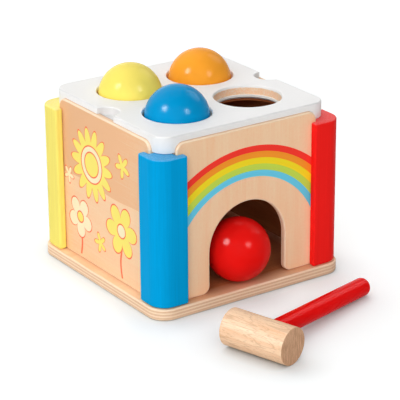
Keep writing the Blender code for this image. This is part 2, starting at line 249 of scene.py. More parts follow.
class Signal:
    """What one socket of a material carries. Python's signs and its own functions add the nodes."""

    def __init__(self, tree, socket):
        self.tree, self.socket = tree, socket

    def through(self, kind, values, output=0, **settings):
        """What a new node makes of the values given for its inputs."""
        return Signal(self.tree, add_node(self.tree, kind, values, **settings).outputs[output])

    def step(self, operation, *others):
        """One step of arithmetic with it and others."""
        return self.through("ShaderNodeMath", dict(enumerate((self, *others))), operation=operation)

    def __add__(self, other):
        return self.step("ADD", other)

    def __sub__(self, other):
        return self.step("SUBTRACT", other)

    def __mul__(self, other):
        return self.step("MULTIPLY", other)

    def __lt__(self, other):
        return self.step("LESS_THAN", other)

    def __gt__(self, other):
        return self.step("GREATER_THAN", other)

    def __abs__(self):
        return self.step("ABSOLUTE")

    def most(self, *others):
        """The largest of it and others."""
        largest = self
        for other in others:
            largest = largest.step("MAXIMUM", other)
        return largest

    def spread(self, low, high, new_low=0.0, new_high=1.0):
        """A value carried from one range to another, and held within it."""
        values = {0: self, 1: low, 2: high, 3: new_low, 4: new_high}
        return self.through("ShaderNodeMapRange", values, clamp=True)

    def blend(self, first, second):
        """The colour on the way from the first to the second, which it reaches at 1."""
        return self.through("ShaderNodeMix", {0: self, 6: first, 7: second}, 2, data_type="RGBA")

    def parts(self):
        """The x, y and z of a place."""
        outputs = add_node(self.tree, "ShaderNodeSeparateXYZ", {0: self}).outputs
        return [Signal(self.tree, output) for output in outputs]

    def mirrored(self):
        """A place with each of its signs left off."""
        return self.through("ShaderNodeVectorMath", {0: self}, operation="ABSOLUTE")

    def noise(self, scale, detail=3.0, roughness=0.5, warp=0.0):
        """Noise at a place, whose marks repeat scale times to the metre: one number, or one an axis."""
        scale = (scale,) * 3 if isinstance(scale, float) else scale
        spot = self.through("ShaderNodeVectorMath", {0: self, 1: scale}, operation="MULTIPLY")
        values = {"Vector": spot, "Scale": 1.0, "Detail": detail, "Roughness": roughness,
                  "Distortion": warp}
        return self.through("ShaderNodeTexNoise", values, normalize=True)


def fill_inputs(node, values):
    """Link signals to a node's inputs, or set numbers, places and colours on them."""
    for key, value in values.items():
        socket = node.inputs[key]
        if isinstance(value, Signal):
            value.tree.links.new(value.socket, socket)
        elif socket.type == "RGBA":
            socket.default_value = (*tuple(value)[:3], 1.0)
        else:
            socket.default_value = value


def add_node(tree, kind, values, **settings):
    """Add a node, set its options, and fill its inputs by name or number."""
    item = tree.nodes.new(kind)
    for name, value in settings.items():
        setattr(item, name, value)
    fill_inputs(item, values)
    return item


def new_material(name):
    """A new material with a shader, and its node tree."""
    material = bpy.data.materials.new(name)
    material.use_nodes = True
    return material, material.node_tree


def new_finish(name):
    """A new material, and the place on the object as a signal in it."""
    material, tree = new_material(name)
    return material, Signal(tree, add_node(tree, "ShaderNodeTexCoord", {}).outputs["Object"])


def dressed(material, colour, roughness, gloss, height, depth, strength=0.6, metal=0.0):
    """The material with its shader filled, and a relief of a real depth from the height."""
    relief = {"Height": height, "Distance": depth, "Strength": strength}
    values = {"Base Color": colour, "Roughness": roughness, "Specular IOR Level": gloss,
              "Metallic": metal, "Normal": height.through("ShaderNodeBump", relief)}
    fill_inputs(material.node_tree.nodes["Principled BSDF"], values)
    return material


def grain(along, across, length):
    """Noise scale for grain along one axis, whose marks are length long and across wide."""
    scale = [1 / across] * 3
    scale["XYZ".index(along)] = 1 / length
    return tuple(scale)


def toned(colour, share):
    """A colour made lighter or darker by a share."""
    return tuple(min(1.0, tone * share) for tone in tuple(colour)[:3])


def bare_wood(place, along, pale, dark, flame=0.45, streak=0.40, pore=0.35):
    """Colour and height of bare wood: broad flames, fine streaks and short pores along the grain."""
    broad = place.noise(grain(along, 0.010, 0.085), 2.0, 0.45, 1.4).spread(0.34, 0.68)
    fine = place.noise(grain(along, 0.0010, 0.028), 3.0, 0.6, 0.2).spread(0.30, 0.72)
    pores = place.noise(grain(along, 0.00032, 0.0032), 1.0).spread(0.60, 0.74)
    share = broad * flame + fine * streak + pores * pore
    return share.step("MINIMUM", 1.0).blend(pale, dark), fine * 0.4 - pores


def peeled_wood(place, along, pale, dark, crest=None):
    """Colour and height of peeled veneer: soft broad flames, faint texture and a few pale streaks.

    With a crest height the figure has a painted reflection: one crisp border near that height, dark over it,
    pale just below, and darker again further down. It is also darker towards the back.
    """
    flame = place.noise(grain(along, 0.015, 0.150), 3.0, 0.5, 0.8).spread(0.30, 0.70)
    fine = place.noise(grain(along, 0.0016, 0.030), 3.0, 0.6, 0.2).spread(0.30, 0.70)
    mottle = place.noise(650.0, 2.0, 0.6).spread(0.30, 0.70)
    streak = place.noise(grain(along, 0.0012, 0.050), 1.0, 0.4).spread(0.68, 0.78)
    share = fine * 0.24 + mottle * 0.20
    if crest:
        _, depth, level = place.parts()
        level = (place.noise(9.0, 1.0, 0.4) - 0.5) * 0.024 + level
        # Painted reflection: a crisp pale band just below the crest, darker wood over it.
        above = (level > crest) * depth.spread(-0.055, 0.040, 0.40, 1.0)
        share = share + depth.spread(-0.050, 0.060, 0.0, 0.30)
        share = share + above.most(level.spread(crest - 0.045, crest, 0.12, 0.0))
        flame = flame * 0.4
    share = (streak * -0.35 + (flame * 0.55 + share)).most(0.0)
    colour = share.step("MINIMUM", 1.0).blend(pale, dark)
    if crest:
        # Darken over the border: the other side of the painted reflection.
        colour = (above * 0.22).blend(colour, toned(dark, 0.45))
    return colour, fine * 0.5


# Finishes


def veneer(name, along, pale, dark, printed=None, crest=None, inside=0.0, gloss=0.07):
    """Clear-lacquered plywood face with its grain along one axis, and a print on it if given.

    Within a square of half width inside, which the panels close in, the wood darkens to the shaded inner
    tone:
    painted shade of the box's inside, reaching out onto the base's ledge. From left to right the square is 8%
    narrower, so this painted shade reaches further out in front and behind than at the sides.
    """
    material, place = new_finish(name)
    colour, height = peeled_wood(place, along, pale, dark, crest)
    if inside:
        paint = bpy.context.scene.bench_paint
        across, ahead, _ = place.mirrored().parts()
        # Painted shade: inside the panels and on the ledge the wood darkens to the shaded inner tone.
        within = (across * 1.09).most(ahead).spread(inside - 0.002, inside + 0.015, 1.0, 0.0)
        deep, _ = peeled_wood(place, along, paint.shaded_inner_pale, paint.shaded_inner_dark)
        colour = within.blend(colour, deep)
    if printed:
        colour = printed(place, colour)
    return dressed(material, colour, height.spread(0.0, 0.5, 0.48, 0.40), gloss, height, 0.00003)


def ply_edge(name, axis, low, thickness, plies, contrast):
    """Sanded edge of plywood: plies across one axis, by turns long grain and end grain, and glue lines."""
    paint = bpy.context.scene.bench_paint
    pale, dark = paint.edge_pale, paint.edge_dark
    material, place = new_finish(name)
    wave = place.noise(16.0, 2.0) - 0.5
    across = wave * 0.0006 + place.parts()["XYZ".index(axis)]
    ply = (across - low) * (plies / thickness)
    second = (ply * math.pi).step("SINE") < 0.0
    glue = abs(ply.step("PINGPONG", 1.0) - 0.5).spread(0.40, 0.5)
    fibres = place.noise(900.0, 3.0, 0.6)
    run = {"X": "Y", "Y": "X", "Z": "X"}[axis]
    long_grain, height = bare_wood(place, run, pale, dark, 0.15, 0.25, 0.15)
    end_grain = fibres.spread(0.3, 0.7).blend(dark, toned(dark, 0.84))
    colour = (second * (0.9 * contrast)).blend(long_grain, end_grain)
    colour = (glue * (0.25 * contrast)).blend(colour, toned(dark, 0.55))
    return dressed(material, colour, 0.55, 0.1, height + fibres, 0.00004)


def post_paint(name, colour, top):
    """Satin paint on a wooden post: faint upright streaks, and a painted sheen on top, speckled towards
    white.
    """
    material, place = new_finish(name)
    streaks = place.noise(grain("Z", 0.0015, 0.070), 4.0, 0.6, 0.2)
    cloud = place.noise(40.0, 2.0)
    share = streaks.spread(0.3, 0.7) * 0.7 + cloud * 0.3
    # Painted sheen: the top face is mixed a little towards white.
    sheen_speckle = place.noise(1100.0, 2.0, 0.6).spread(0.35, 0.65, 0.15, 0.05)
    pale = place.parts()[2].spread(top - 0.0010, top - 0.0004) * sheen_speckle
    shade = pale.blend(share.blend(toned(colour, 0.92), toned(colour, 1.06)), (1.0, 1.0, 1.0))
    return dressed(material, shade, cloud.spread(0.3, 0.7, 0.32, 0.44), 0.02, streaks, 0.00004)


def lid_paint(name, colour, half, top, notch_radius):
    """White paint on a board: raised fibres, soft mottling, a few specks, and greyer marks.

    Greyer patches lie along the upper rim, and painted shade darkens the upper part of the thumb notches.
    """
    material, place = new_finish(name)
    fibres = place.noise(grain("X", 0.0009, 0.012), 3.0, 0.6)
    dust = place.noise(650.0, 2.0, 0.6)
    share = fibres.spread(0.35, 0.7) * 0.4 + place.noise(35.0, 3.0, 0.6) * 0.6
    across, ahead, level = place.mirrored().parts()
    rim = across.most(ahead).spread(half - 0.0011, half - 0.0004)
    rim = rim * level.spread(top - 0.0013, top - 0.0005)
    rim_patches = rim * place.noise((60.0, 60.0, 400.0), 4.0, 0.65).spread(0.35, 0.70, 0.08, 0.48)
    aside = across - half
    notch = aside * aside + ahead * ahead < (notch_radius + 0.0004) ** 2
    # Painted shade in the upper part of the thumb notches.
    notch_painted_shade = notch * level.spread(top - 0.0010, top - 0.0002, 0.42, 0.0)
    # worn gathers the specks, the grey rim patches and the notch's painted shade.
    worn = (dust.spread(0.70, 0.78) * 0.25).most(notch_painted_shade, rim_patches)
    shade = worn.blend(share.blend(colour, toned(colour, 0.95)), toned(colour, 0.6))
    return dressed(material, shade, 0.42, 0.12, fibres * 0.6 + dust, 0.00004)


def hole_wood(name, pale, dark, white, border):
    """Bare wood of a hole's wall, with white paint run over its upper border and dust of it below."""
    material, place = new_finish(name)
    colour, height = bare_wood(place, "X", pale, dark, 0.4, 0.5, 0.5)
    level = (place.noise((260.0, 260.0, 30.0), 3.0, 0.6) - 0.5) * 0.0012 + place.parts()[2]
    dust = place.noise((1100.0, 1100.0, 700.0), 3.0, 0.65).spread(0.48, 0.68, 0.0, 0.55)
    painted = level.spread(border - 0.00035, border - 0.00015).most(dust)
    return dressed(material, painted.blend(colour, white), 0.6, 0.2, height, 0.00006)


def gloss_lacquer(name, colour, gloss):
    """Thick gloss lacquer on turned wood: an even colour over slight waves in its surface."""
    material, place = new_finish(name)
    cloud = place.noise(55.0, 2.0).spread(0.3, 0.7)
    waves = place.noise(130.0, 2.0, 0.4)
    shade = cloud.blend(toned(colour, 0.93), colour)
    return dressed(material, shade, cloud.spread(0.0, 1.0, 0.15, 0.19), gloss, waves, 0.00003, 0.5)


def ring_rubber(name, colour):
    """Matt white rubber with a fine moulded grain."""
    material, place = new_finish(name)
    dust = place.noise(900.0, 2.0, 0.6)
    return dressed(material, dust.blend(toned(colour, 0.94), colour), 0.6, 0.2, dust, 0.00003)


def plated_steel(name, colour):
    """Zinc-plated steel with cloudy plating."""
    material, place = new_finish(name)
    cloud = place.noise(500.0, 3.0, 0.6)
    shade, roughness = cloud.blend(toned(colour, 0.8), colour), cloud.spread(0.3, 0.7, 0.25, 0.45)
    return dressed(material, shade, roughness, 0.5, cloud, 0.00002, metal=1.0)


def along_head(place):
    """The place turned about Z so that its X runs along the mallet's head."""
    turn = math.pi / 2 - bpy.context.scene.bench_mallet.turn
    values = {"Vector": place, "Rotation": (0.0, 0.0, turn)}
    return place.through("ShaderNodeMapping", values, vector_type="POINT")


def head_side(name, pale, dark):
    """Turned beech along the grain: wavy growth lines and short dark flecks."""
    material, place = new_finish(name)
    place = along_head(place)
    colour, height = bare_wood(place, "X", pale, dark, 0.5, 0.4, 0.3)
    growth = place.noise(grain("X", 0.0085, 0.060), 2.0, 0.5, 0.9) * 11.0
    flecks = place.noise(grain("X", 0.0004, 0.0034), 1.0, 0.4).spread(0.60, 0.68) * 0.6
    marks = flecks.most(growth.step("PINGPONG", 1.0).spread(0.80, 1.0) * 0.55)
    return dressed(material, marks.blend(colour, toned(dark, 0.70)), 0.55, 0.15, height, 0.00006)


def head_end(name, pale, dark):
    """Sawn beech end grain: darker, with growth rings as slanting streaks and open pores."""
    material, place = new_finish(name)
    place = along_head(place)
    streaks = place.noise((100.0, 1100.0, 170.0), 3.0, 0.6, 0.5).spread(0.3, 0.7)
    pores = place.noise(1500.0, 2.0, 0.6)
    colour = (pores.spread(0.55, 0.72) * 0.4).blend(streaks.blend(pale, dark), toned(dark, 0.55))
    return dressed(material, colour, 0.7, 0.2, pores, 0.00008, 0.7)


# Prints


def rainbow(place, wood):
    """Rainbow on the front: band after band lies outside circles that grow and whose centres sink."""
    look = bpy.context.scene.bench_print
    across, _, level = place.parts()
    aside = across - look.rainbow_aside
    colour = wood
    for number, band in enumerate((look.sky, look.green, look.yellow, look.orange, look.red, wood)):
        rise = level - (look.rainbow_centre - number * look.rainbow_sink)
        reach = (rise * rise + aside * aside).step("SQRT")
        share = reach > look.rainbow_inner + number * look.band_width
        if band is not wood:
            share = share * look.cover
        colour = share.blend(colour, band)
    return colour


def figure(spot, under, centre, radius, lobes, depth, power, turn, width, fill_colour):
    """One printed figure round its centre: a fill within an ink line of the given width.

    At an angle a its edge lies at radius + depth (2 |cos(lobes a / 2 + turn)| ** power - 1).
    """
    look = bpy.context.scene.bench_print
    across, rise = spot[0] - centre[0], spot[1] - centre[1]
    reach = (across * across + rise * rise).step("SQRT")
    edge = radius
    if lobes:
        angle = rise.step("ARCTAN2", across)
        wave = (angle * (lobes / 2) + turn).step("COSINE")
        edge = abs(wave).step("POWER", power) * (2 * depth) + (radius - depth)
    colour = ((reach < edge) * look.cover).blend(under, look.ink)
    return ((reach < edge - width) * look.cover).blend(colour, fill_colour)


def stem(spot, under, foot, top, sway, width):
    """A printed stem that sways from side to side as it rises: |y - foot - sway sin(150 z)| < width."""
    look = bpy.context.scene.bench_print
    across, rise = spot[0] - foot[0], spot[1] - foot[1]
    line = abs(across - (rise * 150.0).step("SINE") * sway) < width
    share = line * (spot[1] > foot[1]) * (spot[1] < top)
    return (share * look.cover).blend(under, look.ink)


def garden(place, wood):
    """Sun, flowers and stars printed on the left panel.

    A figure has its centre, radius, lobes, their depth, power and turn, its line's width and its fill.
    """
    look = bpy.context.scene.bench_print
    spot = place.parts()[1:]
    warm, cream = look.sun_yellow, look.cream
    colour = stem(spot, wood, (-0.021, 0.011), 0.040, 0.0016, 0.0010)
    colour = stem(spot, colour, (0.033, 0.011), 0.034, -0.0016, 0.0010)
    sun, tall, low = (0.016, 0.083), (-0.021, 0.046), (0.033, 0.039)
    figures = (
        (sun, 0.0225, 14, 0.0048, 1.0, 0.0, 0.0011, warm),
        (sun, 0.0140, 0, 0.0, 1.0, 0.0, 0.0010, cream),
        (sun, 0.0095, 0, 0.0, 1.0, 0.0, 0.0010, warm),
        (tall, 0.0150, 6, 0.0050, 0.6, 0.2, 0.0011, warm),
        (tall, 0.0056, 0, 0.0, 1.0, 0.0, 0.0010, cream),
        (low, 0.0120, 5, 0.0040, 0.6, 0.9, 0.0010, cream),
        (low, 0.0046, 0, 0.0, 1.0, 0.0, 0.0010, warm),
        ((-0.024, 0.094), 0.0066, 5, 0.0030, 1.6, 0.5, 0.0009, warm),
        ((0.007, 0.028), 0.0056, 5, 0.0026, 1.6, 0.2, 0.0009, warm),
        ((0.047, 0.067), 0.0050, 5, 0.0023, 1.6, 1.1, 0.0009, cream),
    )
    for shape in figures:
        colour = figure(spot, colour, *shape)
    return colour


# Sizes and colours


def metres(title, words, value, low=0.0):
    """A length that the sidebar shows."""
    return bpy.props.FloatProperty(name=title, description=words, default=value, min=low, precision=4,
                                   subtype="DISTANCE", unit="LENGTH")


def degrees(title, words, value):
    """An angle that the sidebar shows."""
    return bpy.props.FloatProperty(name=title, description=words, default=math.radians(value),
                                   subtype="ANGLE")


def tint(title, words, red, green, blue):
    """A colour that the sidebar shows, given as a screen colour."""
    return bpy.props.FloatVectorProperty(name=title, description=words, size=3, min=0.0, max=1.0,
                                         default=screen(red, green, blue), subtype="COLOR")


def lamp_power(title, words, value):
    """The strength of a light."""
    return bpy.props.FloatProperty(name=title, description="Strength of " + words, default=value, min=0.0)


def part_of_one(title, words, value):
    """A share from 0 to 1."""
    return bpy.props.FloatProperty(name=title, description=words, default=value, min=0.0, max=1.0,
                                   subtype="FACTOR")


class BenchBox(bpy.types.PropertyGroup):
    """Roundings and openings of the box"""
    panel_ease: metres("Panel Edge", "Rounding of the panels' edges", 0.001)
    panel_corner: metres("Panel Corner", "Radius of the panels' top corners", 0.0066)
    panel_foot: metres("Panel Foot", "Radius of the panels' bottom corners", 0.002)
    arch_width: metres("Arch Width", "Width of the arch in the front panel", 0.063)
    arch_height: metres("Arch Height", "Height of the arch over the panel's foot", 0.0600)
    arch_foot: metres("Arch Foot", "Radius where the arch meets the base plate", 0.0055)
    post_corner: metres("Post Corner", "Radius of a post's outer corner", 0.012)
    post_edge: metres("Post Edge", "Radius of a post's other edges", 0.0016)
    post_ease: metres("Post End", "Rounding of a post's ends", 0.0014)
    base_ease: metres("Base Edge", "Rounding of the base plate's edges", 0.0012)
    base_margin: metres("Base Margin", "How far the base plate stands out past the posts", 0.0015)
    screw_bore: metres("Screw Bore", "Radius of a screw's bore", 0.0022)
    screw_seat: metres("Screw Seat", "Radius of a screw's countersink", 0.0043)
    screw_sink: metres("Screw Sink", "How deep a screw's head lies", 0.0004)


class BenchLid(bpy.types.PropertyGroup):
    """Roundings, holes and notches of the lid"""
    ease: metres("Lid Edge", "Rounding of the lid's upper rim", 0.001)
    foot_ease: metres("Lid Foot", "Rounding of the lid's corners below", 0.0007)
    hole_pitch: metres("Hole Pitch", "Distance between two holes", 0.0585)
    hole_radius: metres("Hole Radius", "Radius of a hole's wall", 0.0236)
    mouth_width: metres("Mouth Width", "How far a hole's rounded mouth widens", 0.0008)
    mouth_depth: metres("Mouth Depth", "How deep the rounded mouth goes", 0.0022)
    seat_radius: metres("Seat Radius", "Radius of a ring's seat", 0.0258)
    notch_radius: metres("Notch Radius", "Radius of a thumb notch", 0.010)
    notch_depth: metres("Notch Depth", "Depth of a thumb notch", 0.0055)
    notch_corner: metres("Notch Corner", "Rounding where a notch meets the rim", 0.0012)
    ring_lip: metres("Ring Lip", "How far a ring's lip stands up in its hole", 0.0013)
    ring_soft: metres("Ring Edge", "Rounding of a ring's lip", 0.0003)
    ring_grip: metres("Ring Grip", "How much smaller a ring is than its ball", 0.0003)


class BenchMallet(bpy.types.PropertyGroup):
    """How the mallet lies, and its sizes"""
    turn: degrees("Turn", "Direction of the handle on the floor", 17.2)
    head_radius: metres("Head Radius", "Radius of the head", 0.01275)
    head_length: metres("Head Length", "Length of the head", 0.0496)
    head_edge: metres("Head Edge", "Rounding of the head's rims", 0.0006)
    handle_radius: metres("Handle Radius", "Radius of the handle", 0.0065)
    handle_reach: metres("Handle Reach", "From the head's middle to the handle's tip", 0.119)
    handle_tip: metres("Handle Tip", "Rounding of the handle's tip", 0.0045)


class BenchPaint(bpy.types.PropertyGroup):
    """Colours of paint, lacquer and wood"""
    white: tint("White", "Paint of the lid", 245, 244, 243)
    blue: tint("Blue", "Paint of the blue post", 0, 161, 223)
    red: tint("Red", "Paint of the red post", 255, 34, 30)
    orange: tint("Orange", "Paint of the orange post", 252, 148, 40)
    yellow: tint("Yellow", "Paint of the yellow post", 254, 234, 118)
    ball_blue: tint("Blue Ball", "Lacquer of the blue ball", 0, 148, 206)
    ball_red: tint("Red Ball", "Lacquer of the red ball", 244, 24, 20)
    ball_orange: tint("Orange Ball", "Lacquer of the orange ball", 255, 166, 50)
    ball_yellow: tint("Yellow Ball", "Lacquer of the yellow ball", 253, 232, 110)
    handle_red: tint("Handle", "Lacquer of the mallet's handle", 250, 6, 6)
    wood_pale: tint("Pale Wood", "Light tone of the plywood", 255, 223, 186)
    wood_dark: tint("Dark Wood", "Dark tone of the plywood", 252, 197, 151)
    edge_pale: tint("Pale Edge", "Light plies of the plywood's edges", 255, 228, 198)
    edge_dark: tint("Dark Edge", "Dark plies of the plywood's edges", 236, 188, 148)
    # The inside tones are darkened to stand for the shade inside the box: painted shade.
    shaded_inner_pale: tint("Pale Inside", "Light tone of the plywood inside the box", 190, 114, 70)
    shaded_inner_dark: tint("Dark Inside", "Dark tone of the plywood inside the box", 158, 86, 48)
    beech_pale: tint("Pale Beech", "Light tone of the mallet's head", 255, 222, 188)
    beech_dark: tint("Dark Beech", "Dark tone of the mallet's head", 240, 186, 142)
    end_pale: tint("Pale End Grain", "Light tone of the head's ends", 236, 188, 150)
    end_dark: tint("Dark End Grain", "Dark tone of the head's ends", 196, 144, 106)
    ring: tint("Ring", "Rubber of the rings", 232, 230, 226)
    steel: tint("Steel", "Plating of the screws", 190, 190, 192)


class BenchPrint(bpy.types.PropertyGroup):
    """Colours and places of the prints"""
    rainbow_centre: metres("Rainbow Centre", "Height of the inner border's centre", 0.0247)
    rainbow_aside: metres("Rainbow Aside", "How far right the rainbow's centre lies", -0.0007, low=-1.0)
    rainbow_sink: metres("Rainbow Sink", "How much lower each next border's centre lies", 0.00118)
    rainbow_inner: metres("Rainbow Inside", "Inner radius of the rainbow", 0.0603)
    band_width: metres("Band Width", "How much each next border's radius grows", 0.0056)
    cover: part_of_one("Cover", "How well the print hides the wood", 0.97)
    sky: tint("Sky Blue", "Innermost band", 98, 212, 244)
    green: tint("Green", "Second band", 204, 228, 72)
    yellow: tint("Yellow", "Middle band", 255, 228, 38)
    orange: tint("Orange", "Fourth band", 255, 154, 46)
    red: tint("Red", "Outermost band", 255, 54, 48)
    sun_yellow: tint("Sun Yellow", "Fill of the sun and flowers", 255, 238, 120)
    ink: tint("Ink", "Lines round the figures", 252, 118, 78)
    cream: tint("Cream", "Pale fill of the figures", 255, 242, 202)


class BenchStudio(bpy.types.PropertyGroup):
    """Floor, light and camera"""
    sky: lamp_power("Sky", "the even light", 0.10)
    key: lamp_power("Key", "the broad light beside the camera", 2.0)
    left: lamp_power("Left", "the low light from the left", 0.95)
    right: lamp_power("Right", "the low light from the right", 0.16)
    back: lamp_power("Back", "the broad light from behind", 0.9)
    top: lamp_power("Top", "the broad light overhead", 0.85)
    spot: lamp_power("Spot", "the small lamps' highlights", 11.0)
    soft: lamp_power("Soft", "the soft highlights from the right", 1.6)
    floor: tint("Floor", "Colour of the floor's paper", 206, 210, 211)
    glow: part_of_one("Glow", "Plain white added to the floor that is seen", 0.55)
    # The fading of the floor's added white near a piece is painted shade.
    near: metres("Near", "How far from a piece the floor's added white fades", 0.030)
    azimuth: degrees("Azimuth", "Direction that the camera looks from", -34.34)
    elevation: degrees("Elevation", "Height that the camera looks from", 21.67)
    roll: degrees("Roll", "Tilt of the camera about its view", -0.395)
    place: bpy.props.FloatVectorProperty(name="Camera", description="Place of the camera", size=3,
                                         default=(-0.7161, -1.0612, 0.5547), subtype="TRANSLATION",
                                         unit="LENGTH")
    lens: bpy.props.FloatProperty(name="Lens", description="Focal length for a 36 mm wide picture",
                                  default=174.99, min=10.0, subtype="DISTANCE_CAMERA")


# Pieces


def seamed(edge):
    """A quarter's closed outline: along y = 0 to the edge's first point, the edge, and back down x = 0."""
    share = np.linspace(0, 1, SEAM, endpoint=False)[:, None]
    return np.concatenate([edge[0] * share, edge, edge[-1] * (1 - share[1:])])


def quarter_with_hole(top, bottom, centre, bore, heights, slots, knee=None):
    """Upper face, hole and lower face of a plate's quarter, as one patch closed round the hole.

    top and bottom are its outlines in plan. The hole's circles are cut by rays: each point of the
    upper outline meets them at its own angle, seen from the hole's centre. With a knee, the lower
    face is bent along it on its way out.
    """
    ray = top - centre
    ray /= np.linalg.norm(ray, axis=1)[:, None]
    plans = [top] + [centre + radius * ray for radius, _ in bore]
    levels = [heights[0]] + [height for _, height in bore]
    for lower in (bottom,) if knee is None else (knee, bottom):
        plans.append(lower)
        levels.append(heights[1])
    return grid_patch(levelled(np.stack(plans), levels), slots, closed=True)


class BENCH_OT_base(bpy.types.Operator):
    """Build the plywood base plate with its four screw holes"""
    bl_idname = "bench.base"
    bl_label = "Base Plate"

    def execute(self, context):
        box, paint = context.scene.bench_box, context.scene.bench_paint
        low, high = size_of("base_plate")
        half, thickness = high[0], high[2] - low[2]
        corner = box.post_corner + box.base_margin
        middle = sum(size_of("post_orange"))[:2] / 2
        reach = half - corner
        straight = np.linspace(0, reach, 24)[:, None]
        arc = unit_arc(20, 0, 90)
        first = np.concatenate([half + 0 * straight, straight], 1)
        points = np.concatenate([first, reach + corner * arc[1:-1], first[::-1, ::-1]])
        normals = np.concatenate([np.tile([1.0, 0.0], (24, 1)), arc[1:-1], np.tile([0.0, 1.0], (24, 1))])
        rim = carried(points, normals, eased_edge(thickness, box.base_ease))
        outline = seamed(rim[0, :, :2])
        cone = box.screw_seat - box.screw_bore
        bore = [(box.screw_bore, thickness), (box.screw_bore, box.screw_sink + cone),
                (box.screw_seat, box.screw_sink), (box.screw_seat, 0.0)]
        faces = quarter_with_hole(outline, outline, middle, bore, (thickness, 0.0), 0)
        slots = np.ones(len(rim) - 1, int)
        slots[[0, -1]] = 0
        patches = four_quarters([grid_patch(rim, slots), faces])
        # The base's wood darkens inside the panels and on its ledge: painted shade.
        inside = size_of("panel_back")[0][1]
        materials = [
            veneer("base_veneer", "X", paint.wood_pale, paint.wood_dark, inside=inside, gloss=0.02),
            ply_edge("base_edge", "Z", low[2], thickness, 7, 0.8),
        ]
        add_piece("plywood_base", patches, materials, "box", ["base_plate"])
        return {"FINISHED"}


class BENCH_OT_panels(bpy.types.Operator):
    """Build the four plywood panels with their prints"""
    bl_idname = "bench.panels"
    bl_label = "Panels"

    def execute(self, context):
        box, paint = context.scene.bench_box, context.scene.bench_paint
        low, high = size_of("panel_front")
        floor = size_of("base_plate")[1][2] + HAIR
        half, height, thickness = high[0], high[2] - floor, high[1] - low[1]
        foot, arch = box.panel_foot, box.arch_width / 2
        crown = low[2] + box.arch_height - floor
        left, right = (-half, 0, foot), (half, 0, foot)
        tops = [(half, height, box.panel_corner), (-half, height, box.panel_corner)]
        plain = [left, right] + tops
        arched = [left, (-arch, 0, box.arch_foot), (-arch, crown, arch), (arch, crown, arch),
                  (arch, 0, box.arch_foot), right] + tops
        # The crisp border in the left panel's grain is a painted reflection.
        border = 0.065      # height of the crisp border in the left panel's grain
        sides = {
            "front": (arched, (0, -1, 0), "Z", rainbow, None),
            "right": (plain, (1, 0, 0), "Y", None, None),
            "back": (plain, (0, 1, 0), "X", None, None),
            "left": (plain, (-1, 0, 0), "Y", garden, border),
        }
        for side, (corners, out, along, printed, crest) in sides.items():
            level = 0 if out[0] else 1
            near, far = size_of("panel_" + side)
            origin = np.array([0.0, 0.0, floor])
            origin[level] = near[level] if out[level] > 0 else far[level]
            patches = plate(rounded_outline(corners, 16), thickness, box.panel_ease, 1, (0, 2))
            patches = moved(patches, origin, (-out[1], out[0], 0), (0, 0, 1), out)
            # The inner faces take the darkened inside tones: painted shade.
            materials = [
                veneer(side + "_inner_veneer", along, paint.shaded_inner_pale, paint.shaded_inner_dark, gloss=0.0),
                ply_edge(side + "_edge", "XY"[level], near[level], thickness, 3, 0.5),
                veneer(side + "_outer_veneer", along, paint.wood_pale, paint.wood_dark, printed, crest),
            ]
            add_piece(side + "_panel", patches, materials, "box", ["panel_" + side])
        return {"FINISHED"}


class BENCH_OT_posts(bpy.types.Operator):
    """Build the four grooved and painted corner posts"""
    bl_idname = "bench.posts"
    bl_label = "Posts"

    def execute(self, context):
        box, paint = context.scene.bench_box, context.scene.bench_paint
        low, high = size_of("post_orange")
        panel_low, panel_high = size_of("panel_back")
        inner, outer, height = low[0], high[0], high[2] - low[2]
        near, far = panel_low[1] - FIT, panel_high[1] + FIT
        floor, edge, tight = panel_high[0] + FIT, box.post_edge, FIT / 2
        across = [(inner, inner, edge), (near, inner, edge), (near, floor, tight), (far, floor, tight),
                  (far, inner, edge), (outer, inner, edge)]
        back = [(y, x, radius) for x, y, radius in across[:0:-1]]
        corners = across + [(outer, outer, box.post_corner)] + back
        solid = plate(rounded_outline(corners, 8), height, box.post_ease)
        turns = {"orange": (1, 0, 0), "yellow": (0, 1, 0), "blue": (-1, 0, 0), "red": (0, -1, 0)}
        for colour, side in turns.items():
            patches = moved(solid, (0, 0, low[2]), side, (-side[1], side[0], 0), (0, 0, 1))
            finish = post_paint(colour + "_post_paint", getattr(paint, colour), high[2])
            add_piece(colour + "_post", patches, [finish], "box", ["post_" + colour])
        return {"FINISHED"}


